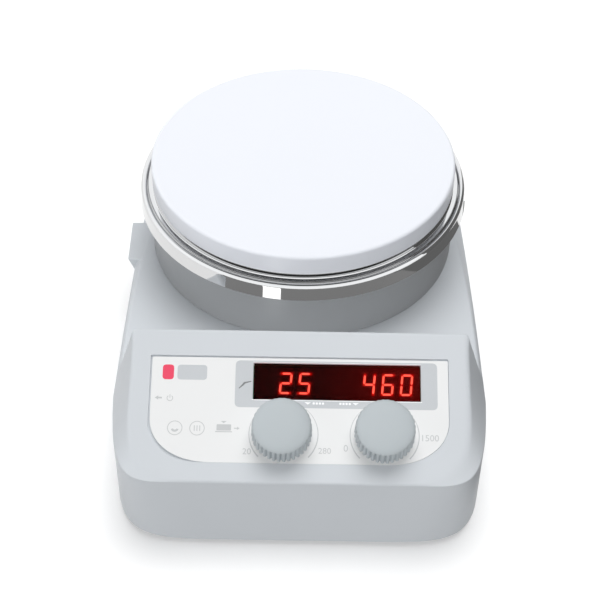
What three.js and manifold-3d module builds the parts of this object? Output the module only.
// A hotplate magnetic stirrer: a moulded housing with a sloping control block, a round heated work plate on
// a collar with a bright trim ring, a magnet rotor on a motor below the plate, and two push-and-turn dials.
// Millimetres, +Z up, +X to the right and +Y to the back as seen by the user.
// The origin is the middle of the bounding box, on the surface that the feet stand on.

import * as THREE from 'three';
import { mergeVertices } from 'three/addons/utils/BufferGeometryUtils.js';
import Module from 'manifold-3d';

const wasm = await Module();
wasm.setup();

// ---- Driving dimensions ----

const GAP = 0.3; // air between pieces that rest on or sit in each other
const WALL = 2.5;

const FRONT_Y = -130;
const REAR_Y = 128.5;
const HOUSING_BOTTOM_Z = 2;
const DECK_Z = 34.2;
const RIM_FRONT_Z = 37.6; // the crisp line round the housing is high at the front ...
const RIM_REAR_Z = 31.5; // ... and drops behind the control block
const RIM_HIGH_UNTIL_Y = -115;
const RIM_LOW_FROM_Y = -60;
const REAR_CORNER_R = 48;
const REAR_CORNER_X = 23;

const PANEL_SLOPE_DEG = 24;
const PANEL_Z = 38.1; // height of the sloping face where it meets the front
const PANEL_LENGTH = 65.5;
const PANEL_HALF_WIDTH = 68.5;
const BLOCK_BACK_FOOT_Y = -63.5;

const AXIS_Y = 24.3; // the plate, collar, motor and rotor share this upright axis
const PLATE_R = 67.5;
const PLATE_TOP_Z = 80;
const PLATE_SKIRT_Z = 70.6;
const PLATE_THICK = 5;
const DECK_HOLE_R = 62;
const COLLAR_FOOT_Z = DECK_Z + GAP;
const RING_FOOT_Z = 60.6;

const DIAL_S = 20.5; // distance up the sloping face
const HEAT_DIAL_X = -6.9;
const STIR_DIAL_X = 34.1;
const DIAL_R = 12.15;
const DIAL_RIBS = 36;
const DIAL_FOOT_N = 1.4; // heights above the sloping face
const SHAFT_R = 3;
const SHAFT_HOLE_R = 5;

const OVERLAY = { halfWidth: 60, bottom: 8.3, top: 52.8, cornerX: 25, cornerS: 19, depth: 1.2 };
const WINDOW = { left: -18.9, right: 49, bottom: 35, top: 50.9 };
const DIGIT_PITCH = 7.6;
const DIGIT_ROW_S = 42.8;
const HEAT_DIGITS = { x: -5.1, count: 3 };
const STIR_DIGITS = { x: 31.9, count: 4 };

const BASE_Z = 6;
const BASE_THICK = 2.5;
const FOOT_PLACES = [[-58, -96], [58, -96], [-42, 88], [42, 88]];
const SCREW_PLACES = [[-64, -112], [64, -112], [-54, 100], [54, 100]];
const BOSS_R = 4;

const SWITCH_Y = 18.6;
const SWITCH_Z = 18.7;
const HOOD_LENGTH = 25.8;
const SWITCH_FACE_X = -76; // how far out the switch's bezel stands
const ROCKER_AXIS_X = SWITCH_FACE_X + 5;
const ROCKER_TILT_DEG = 8;
const INLET_X = 13;
const INLET_Z = 18.6;
const FUSE_X = -8.8;
const PROBE_X = -23;
const SOCKET_Z = 18.6;
const ROD_PLACE = [-40, 108];

// ---- Materials ----

const paint = (color, roughness, metalness = 0) =>
  new THREE.MeshStandardMaterial({ color, roughness, metalness });
const MATERIAL = {
  housing: paint(0xd3d7da, 0.45),
  base: paint(0x5b5f63, 0.6),
  collar: paint(0x8f9294, 0.5, 0.3),
  chrome: paint(0xe6e6e6, 0.08, 1),
  plate: paint(0xf2f5fb, 0.25),
  steel: paint(0xb8babc, 0.35, 0.9),
  aluminium: paint(0xc4c7ca, 0.4, 0.9),
  wool: paint(0xd9d2bd, 0.95),
  overlay: paint(0xeceded, 0.4),
  window: paint(0x2a0808, 0.1),
  board: paint(0x1f5a36, 0.5),
  black: paint(0x17181a, 0.5),
  dial: paint(0xb3bfc5, 0.5),
  brass: paint(0xc9a55c, 0.35, 0.9),
  magnet: paint(0x9a9b9d, 0.3, 0.8),
  rubber: paint(0x2a2b2d, 0.85),
  lead: paint(0x8c2f2a, 0.5),
};

// ---- Geometry helpers ----

// One closed surface with shared corners, no collapsed triangles, and its faces pointing out.
function weld(geometry) {
  const bare = geometry.clone();
  for (const name of Object.keys(bare.attributes)) if (name !== 'position') bare.deleteAttribute(name);
  const merged = mergeVertices(bare, 1e-4);
  const points = merged.attributes.position.array;
  const triangles = [];
  let volume = 0;
  const corner = (i) => new THREE.Vector3().fromArray(points, 3 * i);
  for (let t = 0; t < merged.index.count; t += 3) {
    const [a, b, c] = [0, 1, 2].map((k) => merged.index.getX(t + k));
    if (a === b || b === c || c === a) continue;
    triangles.push([a, b, c]);
    volume += corner(a).dot(corner(b).cross(corner(c)));
  }
  const faces = volume > 0 ? triangles : triangles.map(([a, b, c]) => [a, c, b]);
  const out = new THREE.BufferGeometry();
  out.setAttribute('position', new THREE.BufferAttribute(new Float32Array(points), 3));
  out.setIndex(faces.flat());
  return out;
}

function toManifold(geometry) {
  const closed = weld(geometry);
  return new wasm.Manifold(new wasm.Mesh({
    numProp: 3,
    vertProperties: closed.attributes.position.array,
    triVerts: Uint32Array.from(closed.index.array),
  }));
}

function fromManifold(body) {
  const mesh = body.getMesh();
  const out = new THREE.BufferGeometry();
  out.setAttribute('position', new THREE.BufferAttribute(new Float32Array(mesh.vertProperties), 3));
  out.setIndex(Array.from(mesh.triVerts));
  return out;
}

const join = (first, ...others) =>
  fromManifold(others.reduce((body, g) => body.add(toManifold(g)), toManifold(first)));
const cut = (first, ...others) =>
  fromManifold(others.reduce((body, g) => body.subtract(toManifold(g)), toManifold(first)));
const common = (a, b) => fromManifold(toManifold(a).intersect(toManifold(b)));

// A box from its lowest to its highest corner.
function box(lo, hi) {
  const size = hi.map((v, i) => v - lo[i]);
  return new THREE.BoxGeometry(...size).translate(...lo.map((v, i) => v + size[i] / 2));
}

// An upright cylinder from z0 to z1.
const cylinder = (x, y, z0, z1, r, sides = 24) =>
  new THREE.CylinderGeometry(r, r, z1 - z0, sides).rotateX(Math.PI / 2).translate(x, y, (z0 + z1) / 2);

// A cylinder along Y from y0 to y1.
const cylinderY = (x, z, y0, y1, r, sides = 24) =>
  new THREE.CylinderGeometry(r, r, y1 - y0, sides).translate(x, (y0 + y1) / 2, z);

// A profile of [radius, height] turned about Z.
const turned = (profile, sides = 40) =>
  weld(new THREE.LatheGeometry(profile.map(([r, z]) => new THREE.Vector2(r, z)), sides).rotateX(Math.PI / 2));

const slab = (shape, z0, z1, curveSegments = 12) =>
  new THREE.ExtrudeGeometry(shape, { depth: z1 - z0, bevelEnabled: false, curveSegments }).translate(0, 0, z0);

// A round lead along a smooth curve through the points.
function lead(points, r) {
  const path = new THREE.CatmullRomCurve3(points.map((p) => new THREE.Vector3(...p)), false, 'centripetal');
  const section = new THREE.Shape().absarc(0, 0, r, 0, 2 * Math.PI);
  return weld(new THREE.ExtrudeGeometry(section, { steps: 20, curveSegments: 4, extrudePath: path }));
}

// A closed skin over a stack of loops with equal numbers of points, capped at both ends.
function loft(loops) {
  const n = loops[0].length;
  const middle = (loop) =>
    loop.reduce((sum, p) => sum.add(p), new THREE.Vector3()).divideScalar(loop.length);
  const points = [...loops.flat(), middle(loops[0]), middle(loops.at(-1))];
  const [first, last] = [points.length - 2, points.length - 1];
  const faces = [];
  for (let i = 0; i < n; i++) {
    const j = (i + 1) % n;
    for (let k = 0; k + 1 < loops.length; k++) {
      const [a, b] = [k * n, (k + 1) * n];
      faces.push([a + i, a + j, b + j], [a + i, b + j, b + i]);
    }
    const top = (loops.length - 1) * n;
    faces.push([first, j, i], [last, top + i, top + j]);
  }
  const out = new THREE.BufferGeometry().setFromPoints(points);
  out.setIndex(faces.flat());
  return weld(out);
}

const mix = (a, b, t) => a + (b - a) * t;
const smooth = (a, b, v) => THREE.MathUtils.smoothstep(v, a, b);

// ---- Housing surfaces ----

// The right half of a plan outline, from the middle of the front to the middle of the back: a flat front,
// a squared-off corner, a side that draws in a little towards the back, and a wide rear corner.
function halfOutline({ front, flat, cornerPull, cornerTurn, halfWidth, inset }) {
  const tilt = THREE.MathUtils.degToRad(5);
  const rearR = REAR_CORNER_R - inset;
  const rearCentreY = REAR_Y - REAR_CORNER_R;
  const shoulder = new THREE.Vector2(
    REAR_CORNER_X + rearR * Math.cos(tilt), rearCentreY + rearR * Math.sin(tilt));
  const v = (x, y) => new THREE.Vector2(x, y);
  const corner = new THREE.CubicBezierCurve(
    v(flat, front), v(cornerPull, front), v(...cornerTurn), v(halfWidth, -80));
  const side = new THREE.CubicBezierCurve(
    v(halfWidth, -80), v(halfWidth + 0.3, -52), v(shoulder.x + 4.4, shoulder.y - 50), shoulder);
  const rear = new THREE.EllipseCurve(REAR_CORNER_X, rearCentreY, rearR, rearR, tilt, Math.PI / 2);
  return [v(0, front), ...corner.getPoints(10), ...side.getPoints(10).slice(1),
    ...rear.getPoints(8).slice(1), v(0, REAR_Y - inset)];
}

const RIM = { front: FRONT_Y, flat: 54, cornerPull: 72, cornerTurn: [74.8, -122.5], halfWidth: 77.9, inset: 0 };
const FOOT_LINE = {
  front: FRONT_Y + 0.3, flat: 36, cornerPull: 68, cornerTurn: [76.4, -125], halfWidth: 76.4, inset: 1.2,
};

// The same outline drawn inwards by a distance that may vary along it.
function drawnIn(points, distance) {
  return points.map((p, i) => {
    const before = points[Math.max(i - 1, 0)];
    const after = points[Math.min(i + 1, points.length - 1)];
    const along = after.clone().sub(before).normalize();
    const by = distance(p.y);
    if (i === 0) return new THREE.Vector2(0, p.y + by);
    if (i === points.length - 1) return new THREE.Vector2(0, p.y - by);
    return new THREE.Vector2(p.x - along.y * by, p.y + along.x * by);
  });
}

// Both halves as one loop in space, at a height that may vary along it.
function loopAt(half, height) {
  const right = half.map((p) => new THREE.Vector3(p.x, p.y, height(p.y)));
  const left = half.slice(1, -1).reverse().map((p) => new THREE.Vector3(-p.x, p.y, height(p.y)));
  return [...right, ...left];
}

const rimZ = (y) => mix(RIM_FRONT_Z, RIM_REAR_Z, smooth(RIM_HIGH_UNTIL_Y, RIM_LOW_FROM_Y, y));
const deckBand = (y) => 1.7 + 3.3 * smooth(-30, 64, y);

// Walls and deck, drawn in by t all round and lowered by t at the top.
function tray(t, bottom) {
  const foot = drawnIn(halfOutline(FOOT_LINE), () => t);
  const rim = drawnIn(halfOutline(RIM), () => t);
  const deck = drawnIn(halfOutline(RIM), (y) => t + deckBand(y));
  return loft([
    loopAt(foot, () => bottom),
    loopAt(rim, (y) => rimZ(y) - t),
    loopAt(deck, () => DECK_Z - t),
  ]);
}

const panelMatrix = new THREE.Matrix4()
  .makeRotationX(THREE.MathUtils.degToRad(PANEL_SLOPE_DEG)).setPosition(0, FRONT_Y, PANEL_Z);
const onPanel = (x, s, n) => new THREE.Vector3(x, s, n).applyMatrix4(panelMatrix);
const toPanel = (geometry) => geometry.applyMatrix4(panelMatrix);

// The control block: from the rim line up to the edge of the sloping face, with a steep back.
function block(t) {
  const half = drawnIn(halfOutline(RIM), () => t);
  const rim = half.filter((p) => p.y < BLOCK_BACK_FOOT_Y - 6);
  rim.push(new THREE.Vector2(rim.at(-1).x, BLOCK_BACK_FOOT_Y - t));
  const n = rim.length;
  const edge = new THREE.CubicBezierCurve(
    new THREE.Vector2(44, 0.5), new THREE.Vector2(62, 0.9),
    new THREE.Vector2(PANEL_HALF_WIDTH, 8), new THREE.Vector2(PANEL_HALF_WIDTH, 32));
  const face = rim.map((p, i) => {
    if (i === 0) return [0, 0.5 + t];
    const e = edge.getPoint(Math.min((i - 1) / (n - 6), 1));
    const s = i <= n - 5 ? e.y : mix(32, PANEL_LENGTH, (i - (n - 5)) / 4);
    const reach = Math.max(0, e.x - 44) / (PANEL_HALF_WIDTH - 44);
    return [e.x - t * reach, Math.max(s, 0.5 + t * (1 - reach)) - (i === n - 1 ? t : 0)];
  });
  const both = (points) => [...points, ...points.slice(1).reverse()
    .map((p) => new THREE.Vector3(-p.x, p.y, p.z))];
  return loft([
    both(rim.map((p) => new THREE.Vector3(p.x * 0.985, Math.max(p.y, FRONT_Y + t + 1), DECK_Z - t - 4))),
    both(rim.map((p) => new THREE.Vector3(p.x, p.y, rimZ(p.y) - t))),
    both(face.map(([x, s]) => onPanel(x, s, -t))),
  ]);
}

// The recess for the printed overlay: square at the top, wide curves at the bottom.
function overlayShape(grow) {
  const { halfWidth, bottom, top, cornerX, cornerS } = OVERLAY;
  const [w, b] = [halfWidth + grow, bottom - grow];
  const shape = new THREE.Shape();
  shape.moveTo(-w, top + grow);
  shape.lineTo(-w, b + cornerS);
  shape.absellipse(-w + cornerX, b + cornerS, cornerX, cornerS, Math.PI, 1.5 * Math.PI);
  shape.absellipse(w - cornerX, b + cornerS, cornerX, cornerS, 1.5 * Math.PI, 2 * Math.PI);
  shape.lineTo(w, top + grow);
  return shape;
}

const windowBox = (shrink, n0, n1) => box(
  [WINDOW.left + shrink, WINDOW.bottom + shrink, n0], [WINDOW.right - shrink, WINDOW.top - shrink, n1]);

// The wedge-shaped hood over the side switch: its outer edge is out past the wall, its underside tapers in.
function switchHood() {
  const section = new THREE.Shape([[-72, 34.1], [-79, 34.1], [-76, 26.8], [-72, 25]]
    .map(([x, z]) => new THREE.Vector2(x, z)));
  return slab(section, -HOOD_LENGTH / 2, HOOD_LENGTH / 2).rotateX(Math.PI / 2).translate(0, SWITCH_Y, 0);
}

function upperHousing() {
  const outer = join(tray(0, HOUSING_BOTTOM_Z), block(0));
  const inner = join(tray(WALL, HOUSING_BOTTOM_Z - 1), block(WALL));
  const posts = SCREW_PLACES.map(([x, y]) => cylinder(x, y, BASE_Z + BASE_THICK + GAP, 60, BOSS_R, 16));
  const boardPosts = [[-27, 13], [54, 13], [-27, 51], [54, 51]]
    .map(([x, s]) => toPanel(cylinder(x, s, -11.5, -1.5, 2.2, 12)));
  const rodBoss = cylinder(...ROD_PLACE, 13, DECK_Z - 1, 10);
  const shell = join(cut(outer, inner), switchHood(),
    common(join(posts[0], ...posts.slice(1)), outer), ...boardPosts, rodBoss);
  const [sy, sz] = [SWITCH_Y, SWITCH_Z];
  return cut(shell,
    cylinder(0, AXIS_Y, DECK_Z - 8, DECK_Z + 8, DECK_HOLE_R, 48),
    ...SCREW_PLACES.map(([x, y]) => cylinder(x, y, 5, 20, 1.7, 12)),
    cylinder(...ROD_PLACE, 12, DECK_Z + 4, 7.2, 24),
    toPanel(slab(overlayShape(GAP), -OVERLAY.depth, 6)),
    toPanel(windowBox(0, -8, 1)),
    ...[HEAT_DIAL_X, STIR_DIAL_X].map((x) => toPanel(cylinder(x, DIAL_S, -8, 1, SHAFT_HOLE_R))),
    box([-82, sy - 11.1, sz - 8.1], [-69, sy + 11.1, sz + 8.1]),
    box([INLET_X - 13.6, 118, INLET_Z - 9.8], [INLET_X + 13.6, 134, INLET_Z + 9.8]),
    cylinderY(FUSE_X, SOCKET_Z, 118, 134, 6.6),
    cylinderY(PROBE_X, SOCKET_Z, 118, 134, 6.6));
}

// ---- Base, feet and screws ----

function baseCover() {
  const outline = loopAt(drawnIn(halfOutline(FOOT_LINE), () => WALL + GAP), () => BASE_Z);
  const plate = loft([outline, outline.map((p) => p.clone().setZ(BASE_Z + BASE_THICK))]);
  const vents = [];
  for (let row = -1; row <= 1; row += 2) {
    for (let i = -4; i <= 4; i++) {
      vents.push(box([i * 9 - 1.5, AXIS_Y + row * 30 - 11, 0], [i * 9 + 1.5, AXIS_Y + row * 30 + 11, 12]));
    }
  }
  const pegs = [[-22, 66], [40, 66], [-22, 100], [40, 100]]
    .map(([x, y]) => cylinder(x, y, BASE_Z + 1, 13.7, 3, 12));
  const holes = SCREW_PLACES.map(([x, y]) => cylinder(x, y, 0, 12, 1.7, 12));
  return cut(join(plate, ...pegs), ...vents, ...holes);
}

const foot = () => turned([[0, 0], [7.6, 0], [8.2, 0.7], [8.6, BASE_Z - GAP], [0, BASE_Z - GAP]], 20);

function baseScrew() {
  const head = BASE_Z - GAP;
  const body = turned([[0, head - 1.8], [2.4, head - 1.8], [3, head - 1], [3, head], [1.35, head],
    [1.35, 18], [0, 18]], 10);
  return cut(body, box([-4, -0.4, 0], [4, 0.4, head - 1]));
}

// ---- Collar, ring, plate and heater ----

const collar = () => turned([
  [62.8, COLLAR_FOOT_Z], [68, COLLAR_FOOT_Z], [69, RING_FOOT_Z], [69, 65.9], [66.8, 65.9],
  [66.4, RING_FOOT_Z], [65.4, COLLAR_FOOT_Z + 2.5], [62.8, COLLAR_FOOT_Z + 2.5], [62.8, COLLAR_FOOT_Z]], 60);

// A channel that caps the collar: a tall outer band, a bead, a groove and an inner riser under the plate.
const trimRing = () => turned([
  [73, RING_FOOT_Z], [72.4, 66.4], [71.6, 67.9], [70.6, 68.1], [69.2, 67.6], [67.4, 67.6], [66.8, 68],
  [66.6, 70.2], [65.8, 70.2], [65.5, 62], [66.3, 62], [66.5, 66.3], [71.4, 66.3], [72.2, RING_FOOT_Z],
  [73, RING_FOOT_Z]], 60);

function workPlate() {
  const under = PLATE_TOP_Z - PLATE_THICK;
  const round = 2.5;
  const edge = [0, 30, 60, 90].map((deg) => {
    const a = THREE.MathUtils.degToRad(deg);
    return [PLATE_R - round + round * Math.cos(a), PLATE_TOP_Z - round + round * Math.sin(a)];
  });
  return turned([[0, under], [62, under], [63.2, under - 1.2], [63.2, PLATE_SKIRT_Z],
    [PLATE_R - 0.3, PLATE_SKIRT_Z], ...edge, [0, PLATE_TOP_Z]], 60);
}

// Three posts carry the plate; the sensor and the heater's leads pass through the same discs.
const POST_PLACES = [90, 210, 330].map((deg) => {
  const a = THREE.MathUtils.degToRad(deg);
  return [56 * Math.cos(a), 56 * Math.sin(a)];
});
const SENSOR_PLACE = [-40, 0];
const LEAD_PLACE = [30, 37.7];

function disc(r, z0, z1, holes) {
  return cut(turned([[0, z0], [r, z0], [r, z1], [0, z1]]),
    ...holes.map(([x, y, hole]) => cylinder(x, y, z0 - 1, z1 + 1, hole, 12)));
}

const heaterDisc = () => disc(51, 71.5, 74.7, [[...SENSOR_PLACE, 2.8]]);
const insulationPad = () => disc(61.5, 66, 71.2,
  [[...SENSOR_PLACE, 2.8], [...LEAD_PLACE, 2.6], ...POST_PLACES.map((p) => [...p, 3.6])]);
const clampPlate = () => disc(62, 64, 65.7,
  [[...SENSOR_PLACE, 2.8], [...LEAD_PLACE, 2.6], ...POST_PLACES.map((p) => [...p, 3.6])]);
const supportPlate = () => disc(64.6, 37.3, 38.8, [[0, 0, 9], [...SENSOR_PLACE, 5], [...LEAD_PLACE, 3.6]]);
const platePost = () => turned([[0, 39.1], [3.2, 39.1], [3.2, 74.7], [0, 74.7]], 6);
const plateSensor = () => turned([[0, 58], [2.5, 58], [2.5, 74.2], [2, 74.7], [0, 74.7]], 16);
const safetyThermostat = () => turned([[0, 55], [4, 55], [4, 57], [7, 57], [7, 63.7], [0, 63.7]], 24);

// ---- Motor and rotor ----

const motorCan = () => turned([[0, 11], [26, 11], [28, 13], [28, 29.5], [26.5, 31], [20, 31.5], [20, 37],
  [2.9, 37], [2.9, 14], [0, 14]], 32);
const motorShaft = () => turned([[0, 15], [2.5, 15], [2.5, 50], [0, 50]], 16);

function magnetCarrier() {
  const bar = new THREE.Shape();
  bar.absarc(20, 0, 8.5, -Math.PI / 2, Math.PI / 2);
  bar.absarc(-20, 0, 8.5, Math.PI / 2, 1.5 * Math.PI);
  return cut(join(slab(bar, 48, 52), cylinder(0, 0, 43, 49, 7)), cylinder(0, 0, 40, 50.4, 2.8, 20));
}

const magnet = () => turned([[0, 52.3], [7, 52.3], [7, 59.3], [0, 59.3]], 24);

// ---- Panel pieces, in the sloping face's own frame: x across, y up the slope, z out of it ----

function panelOverlay() {
  return cut(slab(overlayShape(0), -0.9, -0.4), windowBox(0, -2, 1),
    ...[HEAT_DIAL_X, STIR_DIAL_X].map((x) => cylinder(x, DIAL_S, -2, 1, SHAFT_HOLE_R)));
}

const displayWindow = () => windowBox(GAP, -3, -0.5);
const displayBoard = () => box([-30, 9, -13.4], [57, 54, -11.8]);

function ledModule({ x, count }) {
  const half = (count * DIGIT_PITCH) / 2;
  return box([x - half, DIGIT_ROW_S - 7, -11.5], [x + half, DIGIT_ROW_S + 7, -3.4]);
}

function encoderBody() {
  return cut(join(box([-6.2, -6.6, -11.5], [6.2, 6.6, -5.6]), cylinder(0, 0, -6, -3, 4.4, 24)),
    cylinder(0, 0, -10.4, 1, SHAFT_R + GAP, 24));
}

const plunger = () => turned([[0, -9.2], [2.8, -9.2], [2.8, -7.6], [0, -7.6]], 20);
const shaft = () => turned([[0, -7.3], [SHAFT_R, -7.3], [SHAFT_R, 9], [0, 9]], 24);

// A dial with a ribbed skirt and a domed cap, bored for its shaft.
function dial() {
  const levels = [[DIAL_FOOT_N, DIAL_R - 0.2, 0.5], [8.8, DIAL_R - 0.3, 0.5],
    [10.2, 10.9, 0], [11.7, 7.4, 0], [12.4, 3.2, 0]];
  const count = 2 * DIAL_RIBS;
  const loops = levels.map(([n, r, rib]) => Array.from({ length: count }, (_, i) => {
    const a = (2 * Math.PI * i) / count;
    const reach = i % 2 ? r - rib : r;
    return new THREE.Vector3(reach * Math.cos(a), reach * Math.sin(a), n);
  }));
  return cut(loft(loops), cylinder(0, 0, 0, 9.4, SHAFT_R + GAP, 24));
}

// ---- Boards inside ----

const powerBoard = () => box([-26, 62, 14], [44, 104, 15.6]);
const transformer = () => join(box([-20, 70, 15.9], [8, 96, 29]), box([-23, 75, 17], [11, 91, 27]));
const capacitor = () => turned([[0, 15.9], [6, 15.9], [6, 29], [5.4, 29.6], [0, 29.6]], 24);
const terminalBlock = () => cut(box([15, 64, 15.9], [35, 71, 24]),
  ...[19, 25, 31].map((x) => box([x - 2.1, 60, 16.9], [x + 2.1, 68, 21.1])));

function heatsink() {
  const fins = [0, 1, 2, 3, 4].map((i) => box([28 + i * 3, 76, 17], [29.2 + i * 3, 98, 29.5]));
  return join(box([27, 76, 15.9], [42, 98, 17.9]), ...fins);
}

// ---- Side switch ----

function switchBody() {
  const [y, z] = [SWITCH_Y, SWITCH_Z];
  const x = SWITCH_FACE_X;
  const barrel = box([x + 0.4, y - 9.2, z - 6.2], [x + 17.4, y + 9.2, z + 6.2]);
  const bezel = box([x, y - 10.8, z - 7.8], [x + 3, y + 10.8, z + 7.8]);
  const tabs = [-5, 0, 5].map((dy) => box([x + 16.4, y + dy - 0.4, z - 2.4], [x + 23.4, y + dy + 0.4, z + 2.4]));
  return cut(join(barrel, bezel, ...tabs), box([x - 2, y - 8.3, z - 5.2], [x + 10.9, y + 8.3, z + 5.2]));
}

// A rocker with two flat halves that meet in a shallow valley, drawn here with its pivot at the origin.
function rocker() {
  const section = new THREE.Shape([[3, -3.6], [-3, -3.6], [-6.9, 2], [-6.7, 4.3], [0, 3.1], [6.7, 4.3], [6.9, 2]]
    .map(([v, u]) => new THREE.Vector2(v, u)));
  const tilt = THREE.MathUtils.degToRad(ROCKER_TILT_DEG);
  return slab(section, -4.9, 4.9).rotateZ(Math.PI / 2 + tilt).translate(ROCKER_AXIS_X, SWITCH_Y, SWITCH_Z);
}

// ---- Rear sockets ----

function inletBody() {
  const [x, z] = [INLET_X, INLET_Z];
  const chamfered = (w, h, c) => new THREE.Shape([[-w, -h], [w, -h], [w, h - c], [w - c, h], [c - w, h],
    [-w, h - c]].map(([a, b]) => new THREE.Vector2(x + a, z + b)));
  const alongY = (shape, y0, y1) => slab(shape, -y1, -y0).rotateX(Math.PI / 2);
  const pinHoles = PIN_PLACES.map(([px, pz]) =>
    box([px - 1.3, 90, pz - 2.3], [px + 1.3, 120, pz + 2.3]));
  return cut(join(box([x - 13.3, 106, z - 9.5], [x + 13.3, 129.4, z + 9.5]),
    box([x - 14.5, 128.8, z - 10.8], [x + 14.5, 130, z + 10.8])),
  alongY(chamfered(12.1, 8.2, 4.5), 112, 134), ...pinHoles);
}

const PIN_PLACES = [[INLET_X - 7, INLET_Z - 1], [INLET_X + 7, INLET_Z - 1], [INLET_X, INLET_Z + 3]];
const inletPin = ([x, z]) => box([x - 1, 104.6, z - 2], [x + 1, 126, z + 2]);

function roundSocket(x, bore, depth) {
  return cut(join(cylinderY(x, SOCKET_Z, 106, 129.4, 6.2), cylinderY(x, SOCKET_Z, 128.8, 130, 6.9)),
    cylinderY(x, SOCKET_Z, 130 - depth, 134, bore));
}

const fuseCarrier = () => cut(cylinderY(FUSE_X, SOCKET_Z, 109, 125.6, 4.5, 24),
  cylinderY(FUSE_X, SOCKET_Z, 100, 123.5, 2.9, 16));
const fuseLink = () => cylinderY(FUSE_X, SOCKET_Z, 109.5, 123.2, 2.5, 16);
const fuseCap = () => cut(cylinderY(FUSE_X, SOCKET_Z, 125.9, 129.9, 4.7, 24),
  box([FUSE_X - 3.6, 128.7, SOCKET_Z - 0.6], [FUSE_X + 3.6, 134, SOCKET_Z + 0.6]));

const rodBush = () => cut(join(cylinder(...ROD_PLACE, 14, 36, 6.9), cylinder(...ROD_PLACE, 34.5, 36.5, 8.5)),
  cylinder(...ROD_PLACE, 17, 40, 4.3));

// ---- Assembly ----

const stirrer = new THREE.Group();
const turntable = new THREE.Group(); // everything on the plate's axis
turntable.position.set(0, AXIS_Y, 0);
const panel = new THREE.Group(); // everything on the sloping face
panel.position.set(0, FRONT_Y, PANEL_Z);
panel.rotation.x = THREE.MathUtils.degToRad(PANEL_SLOPE_DEG);
stirrer.add(turntable, panel);

function place(parent, name, geometry, material, position = [0, 0, 0]) {
  const mesh = new THREE.Mesh(weld(geometry), material);
  mesh.name = name;
  mesh.position.set(...position);
  parent.add(mesh);
}

place(stirrer, 'upper_housing', upperHousing(), MATERIAL.housing);
place(stirrer, 'base_cover', baseCover(), MATERIAL.base);
FOOT_PLACES.forEach(([x, y], i) => place(stirrer, `foot_${i + 1}`, foot(), MATERIAL.rubber, [x, y, 0]));
SCREW_PLACES.forEach(([x, y], i) => place(stirrer, `base_screw_${i + 1}`, baseScrew(), MATERIAL.steel, [x, y, 0]));

place(turntable, 'collar', collar(), MATERIAL.collar);
place(turntable, 'trim_ring', trimRing(), MATERIAL.chrome);
place(turntable, 'work_plate', workPlate(), MATERIAL.plate);
place(turntable, 'heater_disc', heaterDisc(), MATERIAL.steel);
place(turntable, 'insulation_pad', insulationPad(), MATERIAL.wool);
place(turntable, 'heater_clamp_plate', clampPlate(), MATERIAL.steel);
place(turntable, 'support_plate', supportPlate(), MATERIAL.steel);
POST_PLACES.forEach(([x, y], i) => place(turntable, `plate_post_${i + 1}`, platePost(), MATERIAL.steel, [x, y, 0]));
place(turntable, 'plate_sensor', plateSensor(), MATERIAL.steel, [...SENSOR_PLACE, 0]);
place(turntable, 'safety_thermostat', safetyThermostat(), MATERIAL.black, [40, 0, 0]);
place(turntable, 'motor_can', motorCan(), MATERIAL.black);
place(turntable, 'motor_shaft', motorShaft(), MATERIAL.steel);
place(turntable, 'magnet_carrier', magnetCarrier(), MATERIAL.aluminium);
place(turntable, 'magnet_1', magnet(), MATERIAL.magnet, [20, 0, 0]);
place(turntable, 'magnet_2', magnet(), MATERIAL.magnet, [-20, 0, 0]);
place(turntable, 'heater_lead', lead([[25, 42.7, 19], [25, 39, 19.4], [27, 37.6, 24], [30, 37.7, 31],
  [30, 37.7, 40], [30, 37.7, 71.2]], 1.6), MATERIAL.lead);

place(panel, 'panel_overlay', panelOverlay(), MATERIAL.overlay);
place(panel, 'display_window', displayWindow(), MATERIAL.window);
place(panel, 'display_board', displayBoard(), MATERIAL.board);
place(panel, 'heat_digits', ledModule(HEAT_DIGITS), MATERIAL.black);
place(panel, 'stir_digits', ledModule(STIR_DIGITS), MATERIAL.black);
for (const [name, x] of [['heat', HEAT_DIAL_X], ['stir', STIR_DIAL_X]]) {
  const at = [x, DIAL_S, 0];
  place(panel, `${name}_encoder`, encoderBody(), MATERIAL.steel, at);
  place(panel, `${name}_plunger`, plunger(), MATERIAL.brass, at);
  place(panel, `${name}_shaft`, shaft(), MATERIAL.aluminium, at);
  place(panel, `${name}_dial`, dial(), MATERIAL.dial, at);
}

place(stirrer, 'power_board', powerBoard(), MATERIAL.board);
place(stirrer, 'transformer', transformer(), MATERIAL.black);
place(stirrer, 'capacitor', capacitor(), MATERIAL.black, [19, 84, 0]);
place(stirrer, 'terminal_block', terminalBlock(), MATERIAL.dial);
place(stirrer, 'heatsink', heatsink(), MATERIAL.aluminium);
place(stirrer, 'display_harness', lead([[-34, 70, 17], [-44, 58, 17], [-50, 30, 15], [-50, -20, 15],
  [-40, -60, 18], [-20, -84, 28]], 2), MATERIAL.black);

place(stirrer, 'switch_body', switchBody(), MATERIAL.black);
place(stirrer, 'power_rocker', rocker(), MATERIAL.black);
place(stirrer, 'inlet_body', inletBody(), MATERIAL.black);
PIN_PLACES.forEach((p, i) => place(stirrer, `inlet_pin_${i + 1}`, inletPin(p), MATERIAL.brass));
place(stirrer, 'fuse_holder', roundSocket(FUSE_X, 4.9, 22), MATERIAL.black);
place(stirrer, 'fuse_carrier', fuseCarrier(), MATERIAL.black);
place(stirrer, 'fuse_link', fuseLink(), MATERIAL.brass);
place(stirrer, 'fuse_cap', fuseCap(), MATERIAL.black);
place(stirrer, 'probe_socket', roundSocket(PROBE_X, 4.6, 12), MATERIAL.steel);
place(stirrer, 'rod_bush', rodBush(), MATERIAL.steel);

export default stirrer;
